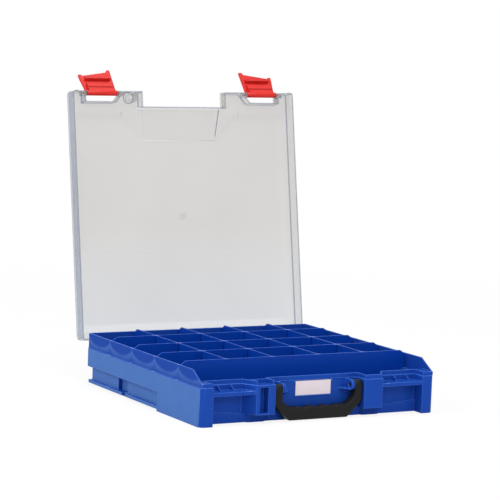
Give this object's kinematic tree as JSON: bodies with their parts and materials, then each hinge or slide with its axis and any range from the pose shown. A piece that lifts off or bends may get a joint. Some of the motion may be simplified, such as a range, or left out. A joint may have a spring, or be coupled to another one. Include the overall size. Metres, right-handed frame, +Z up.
{
  "type": "assortment storage case",
  "caption": "Flat portable storage case: a moulded tray with slotted divider strips, a clear hinged lid, snap latches, a folding carry handle and side rails for a rack.",
  "frame": {"origin": "middle of the tray's underside, on the surface that the case stands on", "axes": "+X to the right of someone facing the handle, +Y from the handle to the hinges, +Z up"},
  "size_m": [0.3418, 0.4317, 0.4146],
  "materials": {
    "blue_plastic": "satin",
    "clear_plastic": "clear, slightly frosted",
    "red_plastic": "satin",
    "black_plastic": "matte",
    "card": "matte",
    "steel": "satin"
  },
  "bodies": {
    "tray": {"case_base": "blue_plastic", "label_card": "card", "hinge_pin_left": "steel", "hinge_pin_right": "steel", "cross_divider_1": "blue_plastic", "cross_divider_2": "blue_plastic", "cross_divider_3": "blue_plastic", "cross_divider_4": "blue_plastic", "lane_divider_1": "blue_plastic", "lane_divider_2": "blue_plastic", "lane_divider_3": "blue_plastic", "lane_divider_4": "blue_plastic"},
    "lid": {"lid": "clear_plastic"},
    "left_latch": {"latch_left": "red_plastic"},
    "right_latch": {"latch_right": "red_plastic"},
    "handle": {"carry_handle": "black_plastic"}
  },
  "joints": [
    {"name": "lid_hinge", "type": "hinge", "parent": "tray", "child": "lid", "pos_m": [0, 0.175, 0.0515], "axis": [1, 0, 0], "range_deg": [0, 99.5]},
    {"name": "left_latch_hinge", "type": "hinge", "parent": "lid", "child": "left_latch", "pos_m": [-0.1224, 0.23786, 0.3847], "axis": [1, 0, 0], "range_deg": [0, 121]},
    {"name": "right_latch_hinge", "type": "hinge", "parent": "lid", "child": "right_latch", "pos_m": [0.1224, 0.23786, 0.3847], "axis": [1, 0, 0], "range_deg": [0, 121]},
    {"name": "handle_hinge", "type": "hinge", "parent": "tray", "child": "handle", "pos_m": [0, -0.1555, 0.0415], "axis": [-1, 0, 0], "range_deg": [0, 100]}
  ]
}
